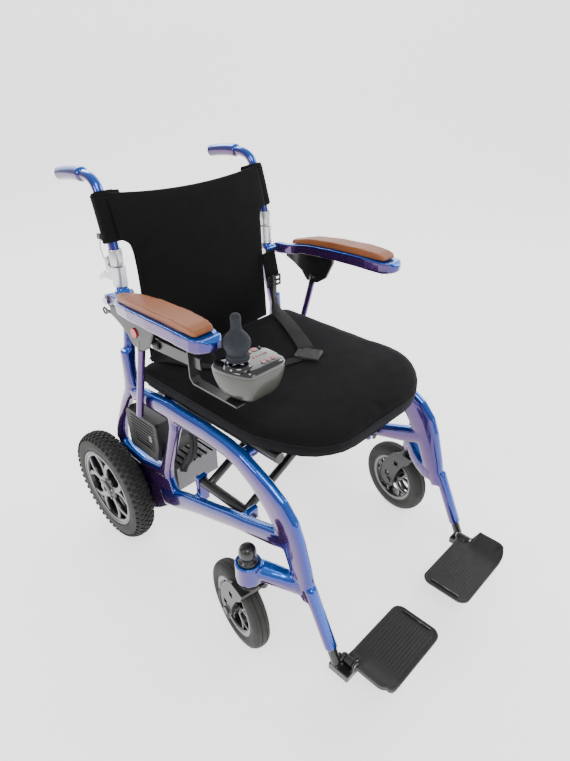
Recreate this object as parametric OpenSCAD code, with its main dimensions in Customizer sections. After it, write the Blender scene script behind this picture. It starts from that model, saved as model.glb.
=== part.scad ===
// Folding power wheelchair with hub motors, side battery and joystick.
// Units mm. +X is the user's left, -Y is forward, +Z is up, floor at z = 0.

/* [Frame] */
// Distance from the chair's middle plane to the middle of each side frame
frame_x = 235; // [220:1:250]
// Thickness of the side frame across the chair
frame_t = 28; // [24:1:34]
// Distance from the middle plane to each back cane
cane_x = 216; // [205:1:230]
// Radius of the back cane tube
cane_r = 11; // [9:0.5:13]
// Height of the folding back hinge pin above the floor
back_hinge_z = 758; // [740:1:780]

/* [Fold] */
// Distance from the middle plane to the cross brace pivots and seat rails
fold_x = 207; // [200:1:215]
// Height of the lower cross brace pivots
fold_z = 275; // [260:1:290]
// Height of the seat rail centres
rail_z = 478; // [470:1:490]
// Radius of the seat rails
rail_r = 11; // [9:0.5:13]
// Radius of the cross brace tubes
brace_r = 10; // [8:0.5:12]

/* [Rear wheels] */
// Outer radius of the rear tyre
wheel_r = 152; // [145:1:160]
// Radius of the rear tyre's rounded section
tyre_r = 26; // [22:0.5:30]
// Distance from the middle plane to the middle of the rear tyre
wheel_x = 290; // [284:1:300]
// Radius of the hub motor's inner cover
motor_r = 108; // [95:1:112]

/* [Casters] */
// Outer radius of the caster tyre
caster_r = 100; // [90:1:104]
// Half width of the caster tyre
caster_w = 19.5; // [16:0.5:22]
// Distance from the middle plane to each caster swivel
caster_x = 293; // [285:1:300]
// Distance the caster wheel trails behind its swivel
caster_trail = 49; // [40:1:60]
// Parked swivel angle of the right caster
caster_yaw_right = -11; // [-30:1:30]
// Parked swivel angle of the left caster
caster_yaw_left = -9; // [-30:1:30]

/* [Seat] */
// Half width of the seat cushion
seat_half = 237; // [220:1:245]
// Thickness of the seat cushion
seat_t = 38; // [30:1:60]

/* [Hidden] */
y_shift = 301;
blue = [0.05,0.22,0.62];
black = [0.06,0.06,0.07];
silver = [0.75,0.76,0.78];
tan_c = [0.68,0.42,0.24];
dark = [0.12,0.12,0.13];
red = [0.75,0.06,0.06];
wheel_y = 43;
caster_y = -491;
arm_len = norm([2*fold_x, rail_z-fold_z]);
arm_ang = atan2(rail_z-fold_z, 2*fold_x);
hinge_y = -13;
arm_py = -44;
arm_pz = 684;
foot_lean = 24.7;

module place() translate([0,y_shift,0]) children();
module left() mirror([1,0,0]) children();

function unit(v) = v/norm(v);
function sgn(v) = v < 0 ? -1 : 1;
// Closed rounded tube along 3-D points; W is half width across X, H is half height in the path's plane
module sweep(P, W, H, n=16, pw=2.6) {
  m = len(P);
  T = [for (i=[0:m-1]) unit(P[min(i+1,m-1)]-P[max(i-1,0)])];
  U = [for (t=T) unit([1,0,0]-t[0]*t)];
  V = [for (i=[0:m-1]) cross(T[i],U[i])];
  pts = [for (i=[0:m-1]) for (k=[0:n-1]) let(a=360*(k+0.5)/n, c=cos(a), s=sin(a))
     P[i] + U[i]*W[i]*sgn(c)*pow(abs(c),2/pw) + V[i]*H[i]*sgn(s)*pow(abs(s),2/pw)];
  f = concat([[for (k=[0:n-1]) k]], [[for (k=[n-1:-1:0]) (m-1)*n+k]],
    [for (i=[0:m-2]) for (k=[0:n-1]) [i*n+k,(i+1)*n+k,(i+1)*n+(k+1)%n]],
    [for (i=[0:m-2]) for (k=[0:n-1]) [i*n+k,(i+1)*n+(k+1)%n,i*n+(k+1)%n]]);
  polyhedron(points=pts, faces=f);
}
// Side view member: list of [y, z, half height]
module member(L, w=frame_t/2, x=-frame_x, n=16)
  sweep([for (q=L) [x,q[0],q[1]]], [for (q=L) w], [for (q=L) q[2]], n);
module rod(a, b, r, fn=48) {
  d = b-a; l = norm(d);
  translate(a) rotate([0,acos(d[2]/l),atan2(d[1],d[0])]) cylinder(h=l,r=r,$fn=fn);
}
module bx(x0,x1,y0,y1,z0,z1) translate([x0,y0,z0]) cube([x1-x0,y1-y0,z1-z0]);
// Flat plate standing in the side plane, from a list of [y, z]
module plate(pts, x0, x1) translate([x0,0,0]) rotate([90,0,90]) linear_extrude(x1-x0) polygon(pts);
module xcyl(x0,x1,y,z,r,fn=64) translate([x0,y,z]) rotate([0,90,0]) cylinder(h=x1-x0,r=r,$fn=fn);
module ycyl(y0,y1,x,z,r,fn=64) translate([x,y1,z]) rotate([90,0,0]) cylinder(h=y1-y0,r=r,$fn=fn);

// ---- side frame
module side_frame_r() difference() {
  union() {
    member([[-52,447,16],[-90,456,20],[-124,457.5,22],[-192,461,24],[-262,462,22.5],[-325,463,22.5],[-382,460,21.5],[-424,450,23],
            [-460,431,26],[-488,413,30],[-516,391,35],[-540,361,37],[-556,330,33],[-567,298,30],[-578,266,28],[-590,236,22],[-598,214,18],[-603,202,16]]);
    member([[-548,322,20],[-500,305,22],[-434,285,19.5],[-380,270,20],[-335,254,21],[-270,233,22],[-213,213,24],[-168,194,26],[-118,178,26]]);
    member([[-204,458,16],[-203,425,15],[-190,388,13.5],[-176,352,13],[-160,315,14],[-146,285,16],[-138,255,18]]);
    member([[-44,560,13],[-44,520,16],[-42,480,19],[-33,450,16],[-14,422,13.5],[8,385,12.5],[32,340,12.5],[48,306,13.5],[58,270,16]]);
    member([[-150,268,16],[-104,258,13.5],[-48,246,13],[8,250,13],[56,256,15]]);
    plate([[-150,268],[-100,262],[-40,250],[20,255],[66,262],[78,236],[72,196],[88,150],[72,104],[22,84],[-46,92],[-90,120],[-150,168],[-172,204]],-244,-226);
    sweep([[-235,-44,470],[-235,-44,505],[-231,-44,535],[-224,-42,568],[-218,-40,600],[-216,-38,640],[-216,-36.5,680],[-216,-35,722]],
          [13,13,12.5,12,12,12,12,12],[18,16,14,13,12.5,12,12,12]);
    translate([-237,-661,112]) rotate([-foot_lean,0,0]) cylinder(h=138,r=13.5,$fn=48);
    sweep([[-236,-582,228],[-240,-566,226],[-250,-544,229],[-264,-522,237],[-279,-503,246],[-290,-493,249]],
          [16,17,18,20,21,16],[23,23,22,22,22,23]);
    translate([-caster_x,caster_y,223]) cylinder(h=49,r=27,$fn=64);
    plate([[-418,262],[-418,300],[-404,300],[-404,262]],-222,-193);
    plate([[-246,220],[-246,292],[-232,292],[-232,205]],-222,-193);
    bx(-226,-196,-165,-135,448,466.6);
    bx(-226,-196,-432,-408,446,466.6);
    ycyl(20,104,-235,100,13.5);
    xcyl(-238,-202,arm_py,arm_pz,13);
  }
  // swivel housing seat, axle hole, footrest tube bore, rear tail bore, brace pin holes
  translate([-caster_x,caster_y,180]) cylinder(h=150,r=20.2,$fn=64);
  xcyl(-260,-215,wheel_y,wheel_r,8.1);
  translate([-237,-661,112]) rotate([-foot_lean,0,0]) translate([0,0,-1]) cylinder(h=106,r=10.05,$fn=48);
  ycyl(30,110,-235,100,10);
  ycyl(-430,-220,-fold_x,fold_z,5.02);
  xcyl(-260,-190,arm_py,arm_pz,5.04);
}
module right_side_frame() color(blue) place() side_frame_r();
module left_side_frame() color(blue) place() left() side_frame_r();

module fold_pin_r() { ycyl(-422,-228,-fold_x,fold_z,5); ycyl(-426,-418.5,-fold_x,fold_z,9); ycyl(-231.5,-224,-fold_x,fold_z,9); }
module right_fold_pin() color(silver) place() fold_pin_r();
module left_fold_pin() color(silver) place() left() fold_pin_r();

// ---- folding cross brace
module brace_tube(y) rod([-fold_x,y,fold_z],[fold_x,y,rail_z],brace_r);
module arm_a() difference() {
  union() {
    for (y=[-388,-264]) brace_tube(y);
    ycyl(-403,-247,-fold_x,fold_z,12);
    ycyl(-500,-84,fold_x,rail_z,rail_r);
    for (y=[-388,-264]) ycyl(y-11,y+11,0,(fold_z+rail_z)/2,15);
  }
  ycyl(-420,-230,-fold_x,fold_z,5.06);
  for (y=[-388,-264]) ycyl(y-12,y+12,0,(fold_z+rail_z)/2,4.02);
}
module arm_b() difference() {
  union() {
    for (y=[-364.5,-287.5]) mirror([1,0,0]) brace_tube(y);
    ycyl(-403,-247,fold_x,fold_z,12);
    ycyl(-500,-84,-fold_x,rail_z,rail_r);
    for (y=[-364.5,-287.5]) ycyl(y-11,y+11,0,(fold_z+rail_z)/2,15);
  }
  ycyl(-420,-230,fold_x,fold_z,5.06);
  for (y=[-364.5,-287.5]) ycyl(y-12,y+12,0,(fold_z+rail_z)/2,4.06);
}
module cross_arm_a() color(black) place() arm_a();
module cross_arm_b() color(black) place() arm_b();
module cross_bolts() color(silver) place() for (m=[[-399.5,-353],[-299,-252.5]]) {
  union() { ycyl(m[0]-1,m[1]+1,0,(fold_z+rail_z)/2,4); ycyl(m[0]-6,m[0],0,(fold_z+rail_z)/2,8,6); ycyl(m[1],m[1]+5,0,(fold_z+rail_z)/2,8,6); }
}

// ---- back
module back_hinge_r() difference() {
  union() {
    translate([-216,-35,704]) cylinder(h=42,r=16,$fn=64);
    for (x=[-229,-208.8]) {
      xcyl(x,x+5.8,hinge_y,back_hinge_z,6.5);
      bx(x,x+5.8,-24,hinge_y+6.5,735,746);
      bx(x,x+5.8,hinge_y-5.5,hinge_y+6.5,740,back_hinge_z);
      bx(x,x+5.8,-28,9,715,729);
    }
    xcyl(-230,-202,hinge_y,back_hinge_z,4);
    xcyl(-226,-206,3,722,3);
  }
  translate([-216,-35,680]) cylinder(h=42.8,r=13.9,$fn=64);
}
module right_back_hinge() color(silver) place() back_hinge_r();
module left_back_hinge() color(silver) place() left() back_hinge_r();
module cane_r_m() difference() {
  union() {
    sweep([[-216,-34,760],[-216,-31,785],[-215,-24,820],[-214,-15,855],[-213,-6,884],[-212,6,906],[-211,26,917],[-211,56,920],[-211,92,919],[-211,148,913]],
      [for (i=[0:9]) cane_r],[for (i=[0:9]) cane_r],20,2);
    translate([-216,-34,749]) cylinder(h=34,r=14,$fn=64);
    bx(-222.4,-209.6,-34,hinge_y,749.5,766);
    xcyl(-222.4,-209.6,hinge_y,back_hinge_z,8.5);
  }
  xcyl(-240,-190,hinge_y,back_hinge_z,4.05);
}
module right_back_cane() color(silver) place() cane_r_m();
module left_back_cane() color(silver) place() left() cane_r_m();
module grip_r() difference() {
  sweep([[-211,58,920],[-211,64,920],[-211,92,919],[-211,148,913],[-211,158,912]],[14,15.5,15.5,15.5,13],[14,15.5,15.5,15.5,13],24,2);
  sweep([[-211,50,920.1],[-211,92,919],[-211,149,913]],[11.4,11.4,11.4],[11.4,11.4,11.4],20,2);
}
module right_hand_grip() color(black) place() grip_r();
module left_hand_grip() color(black) place() left() grip_r();
module lever_r() difference() {
  plate([[-3,727],[6,728],[34,716],[46,703],[44,699],[30,708],[3,716],[-3,717]],-222.4,-209.6);
  xcyl(-240,-190,3,722,3.05);
}
module right_back_lever() color(silver) place() lever_r();
module left_back_lever() color(silver) place() left() lever_r();

// ---- armrests
module arm_pin_r() { xcyl(-261,-198.5,arm_py,arm_pz,5); xcyl(-264,-258.6,arm_py,arm_pz,9,6); xcyl(-201.7,-197,arm_py,arm_pz,9,6); }
module right_armrest_pin() color(silver) place() arm_pin_r();
module left_armrest_pin() color(silver) place() left() arm_pin_r();
module arm_top(g) polygon([[-262+g,-84-g],[-274+g,-100],[-286+g,-130],[-294+g,-180],[-298+g,-250],[-299+g,-340],[-298+g,-380],[-291+g,-401+g],[-280+g/2,-412+g],[-266,-416+g],[-252-g/2,-412+g],[-243-g,-401+g],[-238-g,-380],[-237-g,-340],[-237-g,-250],[-239-g,-180],[-241-g,-130],[-243-g,-84-g]]);
module arm_r() difference() {
  union() {
    plate([[-31,676],[-29,686],[-33,694],[-46,698],[-86,699.5],[-160,710.5],[-160,700],[-120,680],[-60,671],[-44,670],[-36,672]],-258,-242);
    difference() {
      intersection() {
        plate([[-84,699.6],[-160,711.5],[-232,716],[-320,717.5],[-390,715],[-404,716],[-414,710],[-418,702],[-413,694],[-390,689.5],[-320,691.6],[-232,692],[-160,688],[-110,684],[-84,688]],-300,-236);
        translate([0,0,640]) linear_extrude(100) arm_top(0);
      }
      intersection() {
        bx(-290,-262,-378,-112,660,704);
        translate([0,0,640]) linear_extrude(100) arm_top(8);
      }
    }
  }
  xcyl(-270,-230,arm_py,arm_pz,5.05);
}
module right_armrest_arm() color(dark) place() arm_r();
module left_armrest_arm() color(dark) place() left() arm_r();
module arm_bracket_r() difference() {
  union() {
    plate([[-66,680],[-66,662],[-95,650],[-122,634],[-140,612],[-176,612],[-204,630],[-226,672],[-228,690.6],[-212,690],[-160,687.4],[-110,683.6],[-86,685]],-268,-258.3);
    rod([-260.6,-163,628],[-260.6,-102,420],8.3);
  }
  xcyl(-275,-264,-153,646,10.1);
}
module right_armrest_bracket() color(black) place() arm_bracket_r();
module left_armrest_bracket() color(black) place() left() arm_bracket_r();
module arm_pad_r() intersection() {
  plate([[-96,702.5],[-100,714],[-160,727],[-232,733],[-320,735],[-368,732],[-384,727],[-389,721],[-389,717],[-320,718],[-232,716.5],[-160,712]],-300,-236);
  translate([0,0,640]) linear_extrude(120) arm_top(7);
}
module right_armrest_pad() color(tan_c) place() arm_pad_r();
module left_armrest_pad() color(tan_c) place() left() arm_pad_r();
module latch_r() { xcyl(-271,-266.8,-153,646,10); }
module right_armrest_latch() color(red) place() latch_r();
module left_armrest_latch() color(red) place() left() latch_r();

// ---- hub motor and rear wheel
module motor_r_m() {
  difference() {
    union() {
      xcyl(-263,-253,wheel_y,wheel_r,motor_r,128);
      xcyl(-253,-249.6,wheel_y,wheel_r,motor_r-5,128);
      xcyl(-286,-263,wheel_y,wheel_r,78,96);
    }
    for (a=[0:60:300]) rotate_at(wheel_y,wheel_r,a) xcyl(-270,-240,92,0,3,24);
  }
  xcyl(-316,-222,wheel_y,wheel_r,8);
  xcyl(-224,-217,wheel_y,wheel_r,15,6);
}
module rotate_at(y,z,a) translate([0,y,z]) rotate([a,0,0]) children();
module right_motor() color(black) place() motor_r_m();
module left_motor() color(black) place() left() motor_r_m();
// Ring made by turning a profile of [radius, x] about the wheel's own axis
module turned(y,z) translate([0,y,z]) rotate([0,90,0]) rotate_extrude($fn=144) children();
module wheel_rim_r() difference() {
  union() {
    turned(wheel_y,wheel_r) polygon([[8.06,-318],[24,-318],[30,-314],[30,-290],[8.06,-290]]);
    turned(wheel_y,wheel_r) polygon([[29,-309],[84,-305],[84,-312],[100,-312],[103,-315],[107,-313],[100,-306],[100,-274],[107,-268],[104,-266.5],[98,-270],[92,-280],[90,-298],[29,-299]]);
  }
  for (i=[0:9]) rotate_at(wheel_y,wheel_r,36*i) translate([-330,0,0]) rotate([90,0,90]) linear_extrude(45)
     polygon([[38*cos(8),-38*sin(8)],[78*cos(13),-78*sin(13)],[81,0],[78*cos(13),78*sin(13)],[38*cos(8),38*sin(8)]]);
}
module right_wheel_rim() color(dark) place() wheel_rim_r();
module left_wheel_rim() color(dark) place() left() wheel_rim_r();
module wheel_tyre_r() difference() {
  translate([-wheel_x,wheel_y,wheel_r]) rotate([0,90,0]) rotate_extrude($fn=144) translate([wheel_r-tyre_r,0]) difference() {
    circle(r=tyre_r,$fn=64);
    translate([-tyre_r-1,-22.2]) square([9.6,44.4]);
  }
  turned(wheel_y,wheel_r) polygon([[90,-325],[103,-325],[107.4,-317],[107.4,-312.6],[100.3,-305.8],[100.3,-274],[107.4,-267.8],[107.4,-262],[90,-262]]);
  for (i=[0:29]) rotate_at(wheel_y,wheel_r,12*i) for (s=[-1,1]) rotate([s*3,0,0]) bx(-wheel_x+s*13-8,-wheel_x+s*13+8,-2,2,148.5,156);
}
module right_wheel_tyre() color(dark) place() wheel_tyre_r();
module left_wheel_tyre() color(dark) place() left() wheel_tyre_r();

// ---- casters, built facing forward about the swivel, then turned to the parked angle
module caster_housing_r() difference() {
  translate([-caster_x,caster_y,0]) union() {
    translate([0,0,219]) cylinder(h=58,r=20,$fn=64);
    translate([0,0,276]) cylinder(h=12,r=14,$fn=64);
    translate([0,0,295]) sphere(r=18,$fn=64);
  }
  translate([-caster_x,caster_y,210]) cylinder(h=62,r=8.05,$fn=48);
}
module right_caster_housing() color(black) place() caster_housing_r();
module left_caster_housing() color(black) place() left() caster_housing_r();
module parked(s) place() translate([s*caster_x,caster_y,0]) rotate([0,0,s<0?caster_yaw_right:caster_yaw_left]) children();
module fork_m() difference() {
  union() {
    translate([0,0,204]) cylinder(h=13.4,r=20,$fn=64);
    translate([0,0,218]) cylinder(h=52,r=8,$fn=48);
    bx(-32,32,-21,21,202,209);
    for (x=[-32,25.5]) plate([[-21,209],[21,209],[42,196],[62,170],[77,136],[79,112],[72,92],[58,83],[44,84],[34,93],[26,130],[8,166],[-16,190]],x,x+6.5);
  }
  xcyl(-40,40,caster_trail,caster_r,6.03);
  for (w=[[55,122],[27,170]]) bx(-40,40,w[0]-7,w[0]+6,w[1]-7,w[1]+7);
}
module right_caster_fork() { color(black) parked(-1) fork_m(); color(silver) parked(-1) caster_axle_m(); }
module left_caster_fork() { color(black) parked(1) fork_m(); color(silver) parked(1) caster_axle_m(); }
module caster_axle_m() { xcyl(-37,37,caster_trail,caster_r,6); xcyl(-37,-32.3,caster_trail,caster_r,10,6); xcyl(32.3,37,caster_trail,caster_r,10,6); }
module caster_rim_m() difference() {
  turned(caster_trail,caster_r) polygon([[6.06,-24],[16,-24],[20,-12],[56,-8],[60,-15],[66,-15],[66,15],[60,15],[56,8],[20,12],[16,24],[6.06,24]]);
  for (i=[0:4]) rotate_at(caster_trail,caster_r,72*i) translate([-30,0,0]) rotate([90,0,90]) linear_extrude(60)
     polygon([[24*cos(22),-24*sin(22)],[52*cos(24),-52*sin(24)],[54,0],[52*cos(24),52*sin(24)],[24*cos(22),24*sin(22)]]);
}
module right_caster_rim() color(dark) parked(-1) caster_rim_m();
module left_caster_rim() color(dark) parked(1) caster_rim_m();
module caster_tyre_m() difference() {
  turned(caster_trail,caster_r) polygon([[66.3,-16],[74,-caster_w],[86,-caster_w],[95,-15],[99,-8],[100,0],[99,8],[95,15],[86,caster_w],[74,caster_w],[66.3,16]]);
  for (s=[-6.5,6.5]) turned(caster_trail,caster_r) translate([97.2,s-1.2]) square([5,2.4]);
}
module right_caster_tyre() color(dark) parked(-1) caster_tyre_m();
module left_caster_tyre() color(dark) parked(1) caster_tyre_m();

// ---- footrests
module hanger_r() difference() {
  union() {
    translate([-237,-661,112]) rotate([-foot_lean,0,0]) translate([0,0,-34]) cylinder(h=94,r=10,$fn=48);
    bx(-248,-214,-712,-664,64,81);
    for (y=[-712,-686]) { ycyl(y,y+6,-222,92,9); bx(-231,-213,y,y+6,66,92); }
  }
  ycyl(-720,-660,-222,92,4.05);
}
module right_footrest_hanger() color(black) place() hanger_r();
module left_footrest_hanger() color(black) place() left() hanger_r();
module foot_outline() polygon([[-52,-686.5],[-46,-692],[-46,-783],[-50,-792],[-60,-797],[-214,-797],[-229,-792],[-237,-782],[-240,-768],[-240,-722],[-236,-718],[-214,-718],[-210,-714],[-210,-686.5]]);
module footplate_r() difference() {
  union() {
    difference() {
      translate([0,0,88]) linear_extrude(9) foot_outline();
      for (i=[0:6]) bx(-182,-66,-697-14*i-3,-697-14*i+3,94,98);
      bx(-84,-56,-776,-700,80,95);
    }
    intersection() {
      translate([0,-718,0]) rotate([90,0,0]) linear_extrude(79) polygon([[-192,92],[-214,96],[-230,104],[-238,114],[-240,122],[-236,123],[-232,115],[-225,108],[-211,101],[-192,96.9]]);
      translate([0,0,80]) linear_extrude(60) foot_outline();
    }
    ycyl(-705.6,-686.4,-222,92,8);
    bx(-221,-209,-705.6,-686.4,88.2,96.8);
  }
  ycyl(-720,-660,-222,92,4.05);
}
module foot_pin_r() { ycyl(-712.5,-679.5,-222,92,4); ycyl(-715,-712.3,-222,92,7,6); ycyl(-679.7,-677,-222,92,7,6); }
module right_footplate_pin() color(silver) place() foot_pin_r();
module left_footplate_pin() color(silver) place() left() foot_pin_r();
module right_footplate() color(black) place() footplate_r();
module left_footplate() color(black) place() left() footplate_r();

// ---- battery in the right side frame window
module battery_box() color(black) place() difference() {
  plate([[-134,302],[-30,302],[-30,410],[-150,410],[-150,346]],-246,-96);
  plate([[-131,306],[-34,306],[-34,406],[-146,406],[-146,347]],-244,-100);
  bx(-247,-243,-126,-40,318,400);
}
module battery_cover() color(dark) place() {
  difference() { plate([[-154,352],[-139,306],[-134,302],[-36,302],[-28,309],[-28,400],[-36,411],[-148,411],[-154,404]],-256,-246.3); xcyl(-260,-253,-124,360,4); bx(-260,-252,-120,-60,328,352); }
}
module controller_box() color(black) place() difference() {
  bx(-215,-92,-150,-30,196,262);
  bx(-211,-96,-146,-34,200,258);
  for (i=[0:5]) bx(-200+18*i,-194+18*i,-151,-29,258,263);
}

// ---- seat and back
function corner(cx, cy, r, a0, a1, n) = [for (i=[0:n]) let(a=a0+(a1-a0)*i/n) [cx+r*cos(a), cy+r*sin(a)]];
module seat_cushion() color(dark) place() translate([0,0,rail_z+rail_r+1]) linear_extrude(seat_t)
  polygon(concat(corner(-seat_half+160,-580+160,160,180,270,10), corner(seat_half-160,-580+160,160,270,360,10), corner(seat_half-25,-101,25,0,90,3), corner(-seat_half+25,-101,25,90,180,3)));
module back_lower() color(dark) place() difference() {
  plate([[-52,512],[-62,514],[-60,600],[-57,690],[-54,742],[-46,742],[-49,690],[-52,600]],-196,196);
}
module back_upper() color(dark) place() {
  plate([[-56,752],[-52,790],[-44,830],[-33,868],[-23,893],[-15,890],[-26,864],[-36,828],[-44,790],[-48,752]],-200,200);
}

// ---- joystick
jx = -250; jy = -450;
module joy_outline(g) polygon([[-277+g,-432],[-277+g,-408-g],[-268,-399-g],[-182,-399-g],[-169-g,-420],[-165-g,-445],[-168-g,-478],[-180,-490+g],[-247,-490+g],[-260+g,-482],[-272+g,-455]]);
module joystick_bracket() color(black) place() difference() {
  union() {
    plate([[-172,624],[-172,638],[-222,648],[-330,652],[-352,652],[-352,630],[-271,625],[-204,622]],-258.3,-254.5);
    plate([[-328,686],[-328,608],[-336,600],[-454,600],[-456,598],[-456,596.5],[-334,596.5],[-324.5,607],[-324.5,686]],-266,-246);
  }
  xcyl(-260,-250,-196,632,3,32);
}
module joystick_case() color([0.2,0.21,0.19]) place() difference() {
  union() {
    difference() {
      union() {
        translate([0,0,634]) linear_extrude(26) joy_outline(2);
        translate([0,0,618]) linear_extrude(16) joy_outline(9);
        translate([0,0,604.5]) linear_extrude(13.5) polygon([[-262,-420],[-240,-414],[-196,-418],[-186,-440],[-196,-468],[-240,-474],[-258,-464]]);
      }
      translate([0,0,622]) linear_extrude(60) polygon([[-259,-424],[-240,-414],[-190,-416],[-181,-442],[-188,-470],[-240,-476],[-255,-464]]);
      translate([jx,jy,640]) cylinder(h=30,r=15,$fn=64);
    }
    bx(-234.5,-230.5,-455,-445,620,655);
  }
  xcyl(jx-18.5,jx-14,jy,650,2.05,32);
  xcyl(jx+15,jx+22,jy,650,2.05,32);
}
module joystick_cover() color(black) place() difference() {
  union() {
    translate([0,0,660.3]) linear_extrude(8) joy_outline(0);
    translate([0,0,668.3]) linear_extrude(5) joy_outline(6);
    translate([jx,jy,668]) cylinder(h=12,r=19.5,$fn=64);
  }
  translate([jx,jy,655]) cylinder(h=17,r=17,$fn=64);
  translate([jx,jy,660]) cylinder(h=30,r=14,$fn=64);
  for (q=[0:2]) translate([-214+11*q,-474,655]) cylinder(h=30,r=3.6,$fn=32);
  for (q=[0:1]) translate([-208+14*q,-428,655]) cylinder(h=30,r=5.1,$fn=32);
  translate([0,0,655]) linear_extrude(9) polygon([[-222,-436],[-222,-484],[-184,-484],[-180,-440],[-184,-412],[-222,-412]]);
}
// Ring that rocks fore and aft on two pins in the case; the stick rocks sideways in it
module joystick_gimbal() color(silver) place() difference() {
  union() {
    translate([jx,jy,647.5]) cylinder(h=5,r=12.5,$fn=64);
    xcyl(jx-17.5,jx-9,jy,650,2,32);
    xcyl(jx+9,jx+18.5,jy,650,2,32);
  }
  translate([jx,jy,640]) cylinder(h=20,r=8.2,$fn=64);
  ycyl(jy-13,jy+13,jx,650,2.05,32);
}
module joystick_knob() color(black) place() translate([jx,jy,0]) union() {
  translate([0,0,650]) sphere(r=7,$fn=48);
  ycyl(-12,12,0,650,2,32);
  translate([0,0,650]) cylinder(h=60,r=4,$fn=32);
  translate([0,0,686]) cylinder(h=10,r=17,$fn=64);
  translate([0,0,696]) cylinder(h=10,r=19,$fn=64);
  translate([0,0,705]) cylinder(h=14,r1=21,r2=23,$fn=64);
  translate([0,0,719]) cylinder(h=16,r1=23,r2=13,$fn=64);
  translate([0,0,735]) cylinder(h=24,r=9,$fn=48);
  translate([0,0,759]) sphere(r=9,$fn=48);
}
module joystick_buttons() color(red) place() {
  for (q=[0:2]) translate([-214+11*q,-474,664.5]) cylinder(h=11,r=3.5,$fn=32);
  for (q=[0:1]) translate([-208+14*q,-428,664.5]) cylinder(h=11,r=5,$fn=32);
}
module control_cable() color(black) place()
  sweep([[-250,-396,640],[-250,-388,632],[-243,-374,634],[-234,-362,652],[-231.5,-340,672],[-231.5,-300,678],[-231.5,-200,674],[-231.5,-140,660],[-231.5,-100,640],[-231.5,-78,610],[-231,-68,580]],
   [for (i=[0:10]) 2.6],[for (i=[0:10]) 2.6],10,2);
module lap_belt() color(black) place() {
  sweep([[206,-66,640],[202,-70,600],[196,-80,560],[182,-104,535],[158,-150,530],[116,-230,529.6],[74,-292,529.6],[60,-310,529.6]],[for (i=[0:7]) 19],[for (i=[0:7]) 1.4],8,6);
  sweep([[-196,-80,545],[-186,-104,533],[-150,-190,529.6],[-100,-270,529.6],[-60,-308,529.6]],[for (i=[0:4]) 12],[for (i=[0:4]) 1.4],8,6);
}
module belt_buckle() color(dark) place() translate([38,-345,528.4]) rotate([0,0,25]) difference() {
  bx(-26,26,-30,30,0,11);
  bx(-20,20,-24,24,8,12);
}

right_side_frame();
left_side_frame();
right_fold_pin();
left_fold_pin();
right_back_hinge();
left_back_hinge();
right_back_cane();
left_back_cane();
right_hand_grip();
left_hand_grip();
right_back_lever();
left_back_lever();
right_armrest_pin();
left_armrest_pin();
right_armrest_arm();
left_armrest_arm();
right_armrest_bracket();
left_armrest_bracket();
right_armrest_pad();
left_armrest_pad();
right_armrest_latch();
left_armrest_latch();
right_motor();
left_motor();
right_wheel_rim();
left_wheel_rim();
right_wheel_tyre();
left_wheel_tyre();
right_caster_housing();
left_caster_housing();
right_caster_fork();
left_caster_fork();
right_footplate_pin();
left_footplate_pin();
right_caster_rim();
left_caster_rim();
right_caster_tyre();
left_caster_tyre();
right_footrest_hanger();
left_footrest_hanger();
right_footplate();
left_footplate();
cross_arm_a();
cross_arm_b();
cross_bolts();
battery_box();
battery_cover();
controller_box();
seat_cushion();
back_lower();
back_upper();
joystick_bracket();
joystick_case();
joystick_cover();
joystick_gimbal();
joystick_knob();
joystick_buttons();
control_cable();
lap_belt();
belt_buckle();
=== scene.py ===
import bpy, bmesh, math
from mathutils import Vector, Matrix, noise


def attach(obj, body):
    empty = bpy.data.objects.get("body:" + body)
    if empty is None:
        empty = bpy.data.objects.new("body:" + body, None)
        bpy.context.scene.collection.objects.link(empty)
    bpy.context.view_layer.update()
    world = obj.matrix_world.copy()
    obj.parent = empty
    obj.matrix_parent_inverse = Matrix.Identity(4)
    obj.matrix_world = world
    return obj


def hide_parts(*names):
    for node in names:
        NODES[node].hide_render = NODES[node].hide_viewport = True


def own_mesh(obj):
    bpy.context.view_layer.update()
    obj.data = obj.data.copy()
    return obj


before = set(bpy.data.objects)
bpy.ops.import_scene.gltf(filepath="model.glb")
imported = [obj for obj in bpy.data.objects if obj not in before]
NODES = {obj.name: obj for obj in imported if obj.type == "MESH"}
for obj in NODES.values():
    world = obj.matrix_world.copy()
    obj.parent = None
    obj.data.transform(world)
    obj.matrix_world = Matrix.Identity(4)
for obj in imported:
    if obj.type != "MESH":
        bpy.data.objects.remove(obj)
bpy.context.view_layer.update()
YS = 0.301          # the model's shift along Y, as in the CAD source

# ------------------------------------------------------------------ camera, stage, light
def camera():
    C = Vector((-0.78272, -1.090972 + YS, 1.122194))
    yaw, pitch, roll = 0.787044, -0.524531, -0.020139
    cy, sy, cp, sp = math.cos(yaw), math.sin(yaw), math.cos(pitch), math.sin(pitch)
    f = Vector((sy * cp, cy * cp, sp)); r = Vector((cy, -sy, 0)); u = r.cross(f)
    c, s = math.cos(roll), math.sin(roll)
    r2, u2 = c * r + s * u, -s * r + c * u
    cam = bpy.data.cameras.new("camera")
    cam.lens = 559.775 * 36 / 761
    cam.sensor_width = 36
    cam.clip_start = 0.02
    o = bpy.data.objects.new("camera", cam)
    bpy.context.scene.collection.objects.link(o)
    M = Matrix(((r2.x, u2.x, -f.x, C.x), (r2.y, u2.y, -f.y, C.y), (r2.z, u2.z, -f.z, C.z), (0, 0, 0, 1)))
    o.matrix_world = M
    bpy.context.scene.camera = o

def link(me, name):
    o = bpy.data.objects.new(name, me)
    bpy.context.scene.collection.objects.link(o)
    return o

def area(name, loc, target, size, power, col=(1, 1, 1)):
    L = bpy.data.lights.new(name, "AREA"); L.energy = power; L.size = size; L.shape = "SQUARE"; L.color = col
    o = bpy.data.objects.new(name, L); bpy.context.scene.collection.objects.link(o)
    o.location = loc
    o.rotation_euler = (Vector(target) - Vector(loc)).to_track_quat("-Z", "Y").to_euler()

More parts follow.
